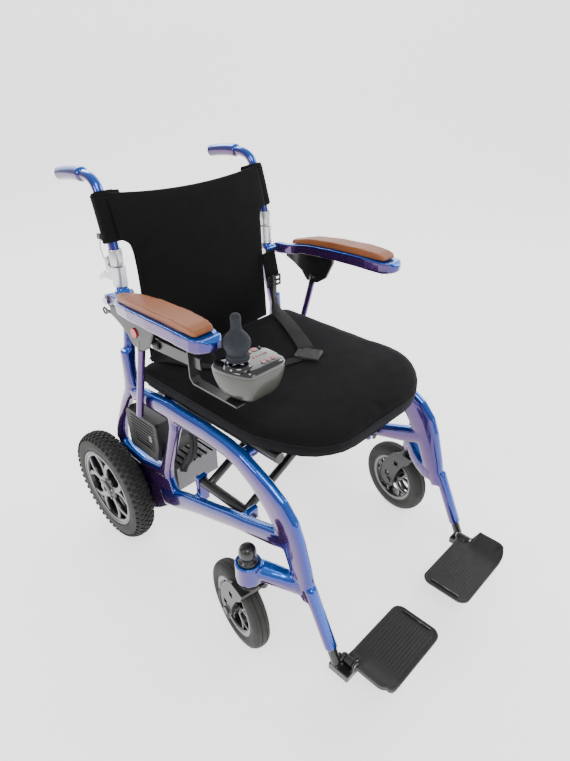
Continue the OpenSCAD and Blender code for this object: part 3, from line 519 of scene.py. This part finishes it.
def housing():
    b = B()
    b.lathe([(0.0004, 0.2192), (0.0188, 0.2192), (0.0199, 0.221), (0.0199, 0.2745), (0.0188, 0.2765), (0.0150, 0.278), (0.0138, 0.281), (0.0150, 0.2835), (0.0168, 0.2880),
             (0.0179, 0.2940), (0.0176, 0.3000), (0.0158, 0.3060), (0.0125, 0.3102), (0.0078, 0.3124), (0.0004, 0.313)], P(-293, -491, 0), Z1, 64, 0)
    return b
both("caster_cap", housing, ["black"], "frame", "caster_housing", angle=60)

# ---------------- footplates: dished, ribbed, with a raised outer wall
def footplate():
    b = B()
    def inner(y): return -46.0
    def outer(y):
        if y > -706: return -210.0
        if y < -720: return -240.0
        t = (-706 - y) / 14.0; return -210.0 - 30.0 * t * t * (3 - 2 * t)
    Y0, Y1 = -686.5, -797.0
    NU, NV = 60, 84
    def corner_xy(x, y):
        for cx, cy, sx, sy, r in ((-46 - 20, Y0 - 20, 1, 1, 20), (-46 - 22, Y1 + 22, 1, -1, 22), (-240 + 26, Y1 + 26, -1, -1, 26)):
            dx, dy = (x - cx) * sx, (y - cy) * sy
            if dx > 0 and dy > 0:
                m = max(dx, dy); l = math.hypot(dx, dy)
                if l > 0: x = cx + dx * m / l * sx; y = cy + dy * m / l * sy
        return x, y
    def height(x, y):
        e = max(0.0, min(1.0, (-188 - x) / 52.0)) * max(0.0, min(1.0, (-704 - y) / 22.0))
        z = 95.0 + 27.0 * e ** 2.2
        d = min(-46 - x, x - outer(y), Y0 - y, y - Y1)
        if d < 6: z += 1.6 * math.sin(math.pi * d / 6.0) - (1.2 if d < 0.6 else 0)
        if -184 < x < -64 and -788 < y < -700:
            z -= 0.9 * (0.5 - 0.5 * math.cos(2 * math.pi * ((y + 700) / 6.9)))
            z += 0.2
        return z
    top, bot = [], []
    for i in range(NU + 1):
        for j in range(NV + 1):
            y = Y0 + (Y1 - Y0) * j / NV; x = inner(y) + (outer(y) - inner(y)) * i / NU
            z = height(x, y); x, y = corner_xy(x, y)
            top.append(P(x, y, z))
            k = 0.975
            xb, yb = -140 + (x + 140) * k, -741 + (y + 741) * k
            bot.append(P(xb, yb, min(87.2 + max(0, z - 97.0) * 0.82, z - 3.0)))
    n = NV + 1; f = []
    for i in range(NU):
        for j in range(NV): f.append((i * n + j, (i + 1) * n + j, (i + 1) * n + j + 1, i * n + j + 1))
    K = len(top); f2 = [tuple(q + K for q in reversed(t)) for t in f]; side = []
    ring = [j for j in range(n)] + [i * n + n - 1 for i in range(1, NU + 1)] + [NU * n + j for j in range(n - 2, -1, -1)] + [i * n for i in range(NU - 1, 0, -1)]
    for k in range(len(ring)):
        a, c = ring[k], ring[(k + 1) % len(ring)]; side.append((a, c, c + K, a + K))
    b.add(top + bot, f + f2 + side, 0)
    b.lathe([(0.0041, -0.7056), (0.0078, -0.7052), (0.0080, -0.7045), (0.0080, -0.6875), (0.0078, -0.6868), (0.0041, -0.6864)], Vector((-0.222, YS, 0.092)), Vector((0, 1, 0)), 40, 0)
    b.box(P(-213.6, -696, 92.6), 0.008, 0.0094, 0.0042, None, 0, 0.001)
    b.box(P(-56.5, -741, 96.4), 0.0016, 0.034, 0.0012, None, 1, 0.0006)
    return b
both("footplate_dish", footplate, ["foot", "gloss"], "footplate", "footplate", angle=50)

# ---------------- armrest pads
for sd, g in SIDES:
    src = NODES[sd + "_armrest_pad"]
    o = refine(sd + "_armrest_pad", sd + "_armrest_cushion", "leather", sd + "_armrest", 0.0018, 9)

# ---------------- padded fabric
def quiet(me):
    return [v.co.copy() for v in me.vertices]

def puff(name, b, mat, body, replaces, voxel=0.006, pressure=4.0, cap=0.006, fill=0.6, wrinkle=0.0012, pin=None, sub=1, smooth=3):
    me = bpy.data.meshes.new(name + "_b"); me.from_pydata([tuple(v) for v in b.v], [], b.f)
    bm = bmesh.new(); bm.from_mesh(me); bmesh.ops.recalc_face_normals(bm, faces=bm.faces); bm.to_mesh(me); bm.free()
    o = link(me, name)
    r = o.modifiers.new("r", "REMESH"); r.mode = "VOXEL"; r.voxel_size = voxel
    s = o.modifiers.new("s", "SMOOTH"); s.factor = 0.5; s.iterations = smooth
    me2 = evaluated(o); o.modifiers.clear(); o.data = me2
    rest = quiet(me2)
    c = o.modifiers.new("cloth", "CLOTH"); st = c.settings
    st.quality = 3; st.mass = 0.25; st.tension_stiffness = 30; st.compression_stiffness = 30; st.shear_stiffness = 12; st.bending_stiffness = 3
    st.use_pressure = True; st.uniform_pressure_force = pressure; st.effector_weights.gravity = 0
    c.collision_settings.use_collision = False
    if pin:
        vg = o.vertex_groups.new(name="pin")
        for i, v in enumerate(rest):
            w = pin(v)
            if w > 0: vg.add([i], w, "REPLACE")
        st.vertex_group_mass = "pin"
    c.point_cache.frame_start = 1; c.point_cache.frame_end = 20
    sc = bpy.context.scene
    for fr in range(1, 21): sc.frame_set(fr)
    me3 = evaluated(o); o.modifiers.clear(); o.data = me3; sc.frame_set(1)
    for i, v in enumerate(me3.vertices):
        d = v.co - rest[i]
        if d.length > cap: d *= cap / d.length
        v.co = rest[i] + d
    me = o.data
    if wrinkle:
        for v in me.vertices:
            k = noise.noise(v.co * 9.0) * 0.6 + noise.noise(v.co * 23.0) * 0.3
            v.co += v.normal * k * wrinkle
    if sub:
        q = o.modifiers.new("q", "SUBSURF"); q.levels = sub; q.render_levels = sub
        me = evaluated(o); o.modifiers.clear(); o.data = me
    me.materials.clear(); me.materials.append(M[mat]); me.polygons.foreach_set("use_smooth", [True] * len(me.polygons))
    o.name = name
    finish_piece(o, body, replaces)
    return o

from mathutils.bvhtree import BVHTree
def on_surface(target, pts, lift=0.0):
    tree = BVHTree.FromPolygons([v.co.copy() for v in target.data.vertices], [tuple(p.vertices) for p in target.data.polygons])
    out = []
    for p in pts:
        loc, nor, idx, d = tree.find_nearest(p)
        out.append(loc + nor * lift)
    return out

def tube_piece(name, path, r, mat, body, closed=False, n=10):
    b = B()
    if closed:
        rings = []; N = len(path)
        for i in range(N):
            t = (path[(i + 1) % N] - path[i - 1]).normalized(); u = t.cross(Z1)
            u = u.normalized() if u.length > 1e-4 else X1; w = t.cross(u)
            rings.append([path[i] + (u * math.cos(a) + w * math.sin(a)) * r for a in [2 * math.pi * k / n for k in range(n)]])
        b.ring_loft(rings, 0, False, True)
    else: b.tube(path, r, None, n, 2.0, 0)
    return b.obj(name, [mat], body, (), angle=None)

def soft(o, body_squash=True):
    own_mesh(o)

# seat cushion
def seat_outline(inset, n=12):
    h = 238 - inset; pts = []
    for cx, cy, r, a0 in ((-h + 158, -582 + inset + 158, 158, 180), (h - 158, -582 + inset + 158, 158, 270), (h - 24, -78 - inset - 24, 24, 0), (-h + 24, -78 - inset - 24, 24, 90)):
        for i in range(n + 1):
            a = math.radians(a0 + 90 * i / n); pts.append((cx + r * math.cos(a), cy + r * math.sin(a)))
    return pts
def droop(x, y):
    t = max(0.0, (-478 - y) / 104.0); return 20.0 * t ** 1.8 * (1 + 0.35 * (abs(x) / 237.0) ** 2)
def seat_mesh():
    b = B(); rings = []
    for z, ins in ((491.2, 30), (490.8, 8), (493, 1.5), (500, 0), (515, 0), (522, 1.5), (526.5, 7), (529.0, 20), (530.5, 45), (531.5, 80), (532, 120), (532, 170)):
        rings.append([P(x, y, z - droop(x, y)) for x, y in seat_outline(ins)])
    b.ring_loft(rings, 0, True)
    return b
seat = puff("seat_pad", seat_mesh(), "fabric", "seat", "seat_cushion", 0.0065, 3.2, 0.0045, 0.7, 0.0016)
base = [P(x, y, 523.5 - droop(x, y)) for x, y in seat_outline(-2, 8)]
s1 = tube_piece("seat_seam_top", on_surface(seat, base, 0.0004), 0.0013, "band", "seat", True)
s2 = tube_piece("seat_seam_low", on_surface(seat, [P(x, y, 494 - droop(x, y)) for x, y in seat_outline(-2, 8)], 0.0004), 0.0013, "band", "seat", True)
for o in (seat, s1, s2): soft(o)

# back panels, upper and lower, crossing the fold gap with a loose overlap
def back_y(z):   # front face of the panel
    T = ((505, -64), (560, -63), (600, -62), (690, -59), (752, -57), (790, -52), (830, -44), (868, -33), (893, -22))
    for (z0, y0), (z1, y1) in zip(T, T[1:]):
        if z <= z1: return y0 + (y1 - y0) * (z - z0) / (z1 - z0)
    return T[-1][1]
def half(z):
    T = ((505, 187), (560, 186), (640, 184), (720, 183), (770, 184), (788, 187), (797, 196), (801, 207), (893, 209))
    for (z0, y0), (z1, y1) in zip(T, T[1:]):
        if z <= z1: return y0 + (y1 - y0) * (z - z0) / (z1 - z0)
    return T[-1][1]
def panel(z0, z1, NZ=30, NX=36, t=8.0):
    b = B(); F, K = [], []
    for j in range(NZ + 1):
        z = z0 + (z1 - z0) * j / NZ
        for i in range(NX + 1):
            u = -1 + 2 * i / NX
            sag = -13.0 * (1 - u * u) * (1 if z < 880 else 1)            # the sling hangs back between the canes
            top = -15 * (1 - u * u) * max(0, (z - 840) / 53.0) ** 2      # and its top edge dips
            x = half(z) * u
            y = back_y(z) - sag * -0.55 + 4.5
            thick = t * (1 - abs(u) ** 8 * 0.5)
            F.append(P(x, y - thick * 0.5, z + top)); K.append(P(x, y + thick * 0.5, z + top))
    n = NX + 1; N = len(F); f = []
    for j in range(NZ):
        for i in range(NX):
            q = (j * n + i, j * n + i + 1, (j + 1) * n + i + 1, (j + 1) * n + i); f.append(q); f.append(tuple(N + k for k in reversed(q)))
    ring = [i for i in range(n)] + [j * n + n - 1 for j in range(1, NZ + 1)] + [NZ * n + i for i in range(n - 2, -1, -1)] + [j * n for j in range(NZ - 1, 0, -1)]
    for k in range(len(ring)):
        a, c = ring[k], ring[(k + 1) % len(ring)]; f.append((a, a + N, c + N, c))
    b.add(F + K, f, 0); return b
def sling_pad(name, bb, body, replaces):
    me = bpy.data.meshes.new(name + "_b"); me.from_pydata([tuple(v) for v in bb.v], [], bb.f)
    bm = bmesh.new(); bm.from_mesh(me); bmesh.ops.recalc_face_normals(bm, faces=bm.faces); bm.to_mesh(me); bm.free()
    o = link(me, name)
    q = o.modifiers.new("q", "SUBSURF"); q.levels = 1; q.render_levels = 1
    me = evaluated(o); o.modifiers.clear(); o.data = me
    nor = [v.normal.copy() for v in me.vertices]
    for v, nn in zip(me.vertices, nor):
        k = noise.noise(v.co * 6.0) * 0.0016 + noise.noise(Vector((v.co.x * 16, v.co.y * 16, v.co.z * 7))) * 0.0007
        v.co += Vector((0, nn.y, 0)) * k
    me.materials.clear(); me.materials.append(M["fabric"]); me.polygons.foreach_set("use_smooth", [True] * len(me.polygons))
    finish_piece(o, body, replaces); return o
up = sling_pad("back_upper_pad", panel(746, 893, 36, 48), "right_back", "back_upper")
lo = sling_pad("back_lower_pad", panel(512, 764, 48, 48), "right_frame", "back_lower")
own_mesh(up)
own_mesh(lo)

# sleeves that wrap the canes
def sleeve(g):
    b = B()
    cl = catmull([P(g * q[0], q[1], q[2]) for q in ((216, -30, 795), (215, -24, 820), (214, -15, 855), (213.2, -7, 884), (213, -3.5, 892))], 7)
    rings = []; n = 28
    for i, p in enumerate(cl):
        t = (cl[min(i + 1, len(cl) - 1)] - cl[max(i - 1, 0)]).normalized(); u = X1; w = t.cross(u)
        r = []
        e = 1.0 + (0.05 if i in (0, len(cl) - 1) else 0)
        for k in range(n):
            a = 2 * math.pi * k / n; c, s = math.cos(a), math.sin(a)
            wx = 0.0205 if c * g > 0 else 0.046
            cc = math.copysign(abs(c) ** 0.8, c)
            r.append(p + u * (wx * cc * e) + w * (0.0150 * math.copysign(abs(s) ** 0.75, s) * (1 if c * g > 0 else 1 - 0.55 * abs(c) ** 1.3) * e))
        rings.append(r)
    b.ring_loft(rings, 0, True)
    return b
for sd, g in SIDES:
    o = puff(sd + "_back_sleeve", sleeve(g), "fabric", sd + "_back", (), 0.004, 0.8, 0.001, 0.4, 0.0012)
    # stitched hems
    for z in (803, 884):
        pts = []
        for k in range(40):
            a = 2 * math.pi * k / 40; yy = -28 if z < 850 else -6
            pts.append(P(g * (215 - 12) + 38 * math.cos(a), yy + 18 * math.sin(a), z))
        tube_piece(sd + "_sleeve_hem_%d" % z, on_surface(o, pts, 0.0003), 0.0009, "band", sd + "_back", True, 8)

# ---------------- lap belt
def ribbon(name, pts, w, t, mat, body, sidev=None, n=8, layers=1):
    path = catmull([P(*p) for p in pts], n); b = B()
    low = [q for q in path if q.z < 0.56 and q.y < 0.21]
    if low and name != "belt_tab":
        fixed = on_surface(seat, low, 0.0)
        m = {id(q): f for q, f in zip(low, fixed)}
        path = [Vector((q.x, q.y, max(q.z, m[id(q)].z + 0.0024))) if id(q) in m else q for q in path]
    for L in range(layers):
        rings = []; N = len(path)
        for i in range(N):
            tt = (path[min(i + 1, N - 1)] - path[max(i - 1, 0)]).normalized()
            if i < 2: tt = (path[2] - path[0]).normalized()
            if i > N - 3: tt = (path[N - 1] - path[N - 3]).normalized()
            ref = sidev if sidev is not None else Vector((1, 0, 0))
            u = (ref - tt * ref.dot(tt)).normalized(); nn = tt.cross(u)
            off = nn * (L * t * 1.6 + 0.0006 * math.sin(i * 0.35))
            hw, ht = w / 2, t / 2
            prof = [(-hw, -ht * 0.5), (-hw * 0.93, -ht), (-hw * 0.45, -ht * 0.82), (0, -ht), (hw * 0.45, -ht * 0.82), (hw * 0.93, -ht), (hw, -ht * 0.5), (hw, ht * 0.5), (hw * 0.93, ht), (hw * 0.45, ht * 0.82), (0, ht), (-hw * 0.45, ht * 0.82), (-hw * 0.93, ht), (-hw, ht * 0.5)]
            rings.append([path[i] + off + u * a + nn * c for a, c in prof])
        b.ring_loft(rings, 0, True)
    return b.obj(name, [mat], body, (), angle=50), path
st1, _ = ribbon("belt_strap_left", [(199, -74, 628), (197, -78, 600), (192, -84, 566), (182, -103, 542), (160, -148, 534.6), (128, -208, 533.6), (104, -252, 536), (78, -296, 538), (62, -318, 539)], 0.036, 0.0022, "web", "seat", Vector((0.85, 0.5, 0)), 8, 2)
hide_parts("lap_belt")
st2, _ = ribbon("belt_strap_right", [(-196, -82, 545), (-186, -104, 538), (-150, -190, 534), (-100, -262, 533.5), (-45, -312, 536), (24, -336, 538.5)], 0.024, 0.002, "web", "seat", Vector((-0.6, 0.8, 0)), 8, 1)
tab, _ = ribbon("belt_tab", [(187, -71, 690), (190, -73, 668), (194, -75, 645), (198, -76, 618)], 0.046, 0.004, "fabric", "seat", Vector((1, 0, 0)), 6, 1)
def adjuster():
    b = B()
    for z in (624, 612, 600):
        b.box(P(197.5, -80.5, z), 0.0235, 0.0022, 0.0028, None, 0, 0.0009)
    for s in (-1, 1): b.box(P(197.5 + s * 22, -80.5, 612), 0.0022, 0.0022, 0.0145, None, 0, 0.0009)
    return b
adj = adjuster().obj("belt_adjuster", ["plastic"], "seat", ())
def buckle():
    b = B(); a = math.radians(25 + 90); ca, sa = math.cos(math.radians(25)), math.sin(math.radians(25))
    ax, ay = Vector((ca, sa, 0)), Vector((-sa, ca, 0)); c = P(48, -338, 534.5)
    def at(x, y, z): return c + ax * x / 1000 + ay * y / 1000 + Z1 * z / 1000
    b.box(at(0, -6, 5.4), 0.024, 0.022, 0.0052, (ax, ay, Z1), 0, 0.002)
    b.box(at(0, 22, 4.8), 0.020, 0.0075, 0.0042, (ax, ay, Z1), 0, 0.0016)
    b.box(at(0, -27, 4.6), 0.0225, 0.0026, 0.0040, (ax, ay, Z1), 0, 0.001)
    for s in (-1, 1): b.box(at(s * 21.5, 6, 5.0), 0.0038, 0.0105, 0.0040, (ax, ay, Z1), 0, 0.0014)
    b.box(at(0, -4, 10.2), 0.011, 0.0085, 0.0007, (ax, ay, Z1), 0, 0.0005)
    return b
bk = buckle().obj("buckle", ["plastic"], "seat", "belt_buckle")
for o in (st1, st2, tab, adj, bk): soft(o)

# ---------------- joystick
JO = [(-275, -432), (-275, -410), (-266, -401), (-240, -399), (-205, -400), (-182, -402), (-170, -421), (-166.5, -445), (-169, -476), (-180, -488), (-215, -489), (-247, -488), (-259, -481), (-270, -455)]
def jring(z, g, n=5, cz=None):
    pts = catmull([Vector((x, y, 0)) for x, y in JO], n, True); out = []
    for p in pts:
        dx, dy = p.x + 222, p.y + 444
        out.append(P(-222 + dx * g, -444 + dy * g, z))
    return out
def joy_low():
    b = B(); R = []
    for z, g in ((604.6, 0.40), (604.8, 0.56), (607, 0.66), (612, 0.75), (620, 0.83), (630, 0.90), (640, 0.95), (650, 0.985), (657, 1.0), (660, 0.995), (660.2, 0.97)):
        R.append(jring(z, g))
    b.ring_loft(R, 0, True); return b
joy_low().obj("joystick_bowl", ["olive"], "right_armrest", "joystick_case", angle=60)
def joy_top():
    b = B(); R = []
    for z, g in ((660.3, 0.97), (660.6, 1.0), (663.5, 1.004), (667, 0.985), (670, 0.95), (672.2, 0.90), (673.4, 0.80), (674.2, 0.5)): R.append(jring(z, g))
    b.ring_loft(R, 0, True)
    b.lathe([(0.0195, 0.6722), (0.0262, 0.6722), (0.0245, 0.6765), (0.0225, 0.679), (0.0198, 0.680), (0.0145, 0.680), (0.0143, 0.673)], P(-250, -450, 0), Z1, 64, 0)
    for x, y, r, m in ((-214, -474, 5.2, 1), (-203, -474, 5.2, 1), (-192, -474, 5.2, 1), (-208, -428, 7.2, 1), (-194, -428, 7.2, 1)):
        b.lathe([(r * 0.72 / 1000, 0.6735), (r / 1000, 0.6738), (r / 1000, 0.6748), (r * 0.9 / 1000, 0.6754), (r * 0.72 / 1000, 0.6752)], P(x, y, 0), Z1, 40, m)
    for k in range(5): b.box(P(-215 + 7 * k, -450, 674.3), 0.0018, 0.003, 0.0006, None, 2 if k < 2 else 1, 0.0003)
    b.box(P(-190, -450, 674.3), 0.0022, 0.0022, 0.0006, None, 2, 0.0003)
    return b
joy_top().obj("joystick_lid", ["gloss", "lip", "led"], "right_armrest", "joystick_cover", angle=50)
def joy_stick():
    b = B()
    prof = [(0.0004, 0.6455), (0.004, 0.647), (0.004, 0.684)]
    for z, r in ((684.5, 17.2), (686.5, 20.0), (688.5, 20.6), (690.0, 18.6), (691.5, 18.2), (693.5, 19.8), (695.5, 19.6), (697, 17.6), (698.5, 17.0), (700.5, 18.6), (702.5, 19.2), (704.5, 20.0), (708, 22.2), (713, 23.4), (718, 23.4), (723, 22.2), (728, 19.4), (732, 16.0), (735.5, 13.0), (738.5, 10.6), (742, 9.3), (747, 8.8), (753, 8.9), (758, 9.2), (763, 8.9), (766.4, 7.2), (768, 4.2), (768.5, 0.4)):
        prof.append((r / 1000, z / 1000))
    b.lathe(prof, P(-250, -450, 0), Z1, 64, 0, closed=False)
    b.lathe([(0.0004, 0.6433), (0.0035, 0.6440), (0.0060, 0.6465), (0.0069, 0.650), (0.0060, 0.6535), (0.0004, 0.657)], P(-250, -450, 0), Z1, 32, 1, closed=False)
    return b
joy_stick().obj("joystick_stick", ["knob", "steel"], "joystick_knob", "joystick_knob", angle=None)

# ---------------- control cable
CP = [(-250, -396, 640), (-250, -388, 632), (-243, -374, 634), (-234, -362, 652), (-231.5, -340, 672), (-231.5, -300, 678), (-231.5, -200, 674), (-231.5, -140, 660), (-231.5, -100, 640), (-231.5, -78, 610), (-231, -68, 580)]
cp = catmull([P(*q) for q in CP], 8)
cb = B(); cb.tube(cp, 0.0026, None, 12, 2.0, 0)
cc = cb.obj("control_lead", ["cable"], "right_armrest", "control_cable", angle=None)

# ---------------- small trim: ring on the joystick bar, cover ribs, charge light, harness
def bar_ring():
    b = B()
    ax = (P(-256.4, -222, 637) - P(-256.4, -172, 631)).normalized()
    b.lathe([(0.0065, 0), (0.0098, 0.0004), (0.0106, 0.002), (0.0106, 0.011), (0.0098, 0.0126), (0.0065, 0.013)], P(-256.4, -196, 634), ax, 40, 0)
    b.lathe([(0.0085, 0.013), (0.0088, 0.016), (0.0082, 0.019), (0.0088, 0.022), (0.0082, 0.025), (0.0088, 0.028), (0.0055, 0.030), (0.0045, 0.013)], P(-256.4, -196, 634), ax, 40, 1)
    return b
bar_ring().obj("bar_ring", ["silver", "plastic"], "right_armrest", ())
def cover_ribs():
    b = B()
    for k in range(9): b.box(P(-256.6, -92, 330 + 8.5 * k), 0.0010, 0.046 - 0.0012 * max(0, 3 - k), 0.0016, None, 0, 0.0004)
    b.box(P(-256.4, -124, 362), 0.0014, 0.0052, 0.0085, None, 1, 0.0006)
    return b
cover_ribs().obj("cover_ribs", ["plastic", "lip"], "battery", ())
HP = [(-214, -208, 436), (-214, -222, 420), (-213, -228, 392), (-212, -222, 360), (-210, -206, 330), (-208, -186, 304), (-207, -170, 282), (-206, -160, 262)]
for k, (dx, dy) in enumerate(((0, 0), (7, 6), (3, -9))):
    hp = catmull([P(x + dx, y + dy, z) for x, y, z in HP], 8)
    rr = [0.0062, 0.0048, 0.0040][k]
    b = B(); b.tube(hp, [rr * (1 + 0.10 * math.cos(i * 1.6)) for i in range(len(hp))], None, 14, 2.0, 0)
    h = b.obj("harness_%d" % k, ["cable"], "right_frame", (), angle=None)

def eyelet():
    b = B(); o = P(-263, -36, 660)
    rings = []
    for i in range(32):
        a = 2 * math.pi * i / 32; c = o + Vector((0, math.cos(a), math.sin(a))) * 0.0068
        d = Vector((0, math.cos(a), math.sin(a)))
        rings.append([c + (d * math.cos(t) + X1 * math.sin(t)) * 0.0021 for t in [2 * math.pi * k / 10 for k in range(10)]])
    b.ring_loft(rings, 0, False, True)
    b.box(P(-262.5, -52, 662), 0.0018, 0.0120, 0.0034, None, 0, 0.0006)
    return b
eyelet().obj("latch_eyelet", ["black"], "right_armrest", (), angle=None)
def clip(g):
    b = B()
    b.box(P(g * 229, -4, 806), 0.0036, 0.0072, 0.0062, None, 0, 0.0014)
    b.tube(catmull([P(g * 226, -2, 800), P(g * 228, 4, 784), P(g * 226, 3, 764), P(g * 222, 0, 746)], 6), 0.0016, None, 8, 2.0, 1)
    return b
for sd, g in SIDES: clip(g).obj(sd + "_back_clip", ["black", "steel"], sd + "_back", (), angle=40)
